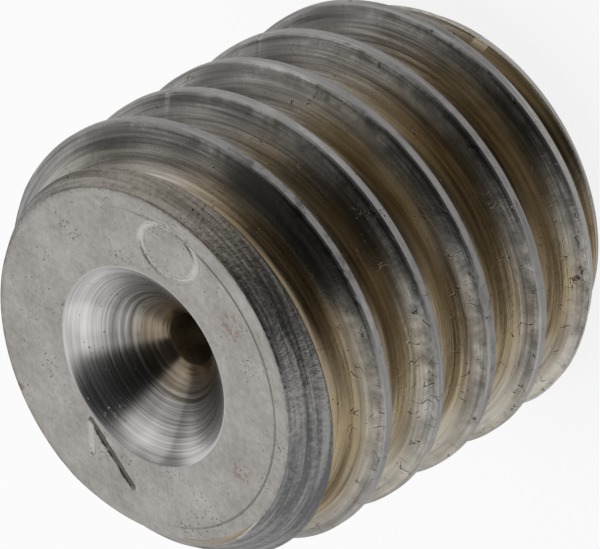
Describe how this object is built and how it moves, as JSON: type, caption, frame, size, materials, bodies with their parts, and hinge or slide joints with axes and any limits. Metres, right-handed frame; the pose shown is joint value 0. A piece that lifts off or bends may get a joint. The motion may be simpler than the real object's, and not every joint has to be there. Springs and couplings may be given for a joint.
{
  "type": "restrictor screw",
  "caption": "Headless threaded screw with a countersunk fine orifice through it and a hexagon socket in its foot.",
  "frame": {"origin": "centre of the socket end face, the face it stands on", "axes": "+Z along the screw's axis, up out of the countersunk end; +X through the point where the first thread crest is 0.92 mm below the top face"},
  "size_m": [0.006, 0.006, 0.006],
  "materials": {
    "steel": "turned bare stainless steel, lightly stained in the thread roots"
  },
  "bodies": {
    "root": {"restrictor_screw": "steel"}
  },
  "joints": []
}
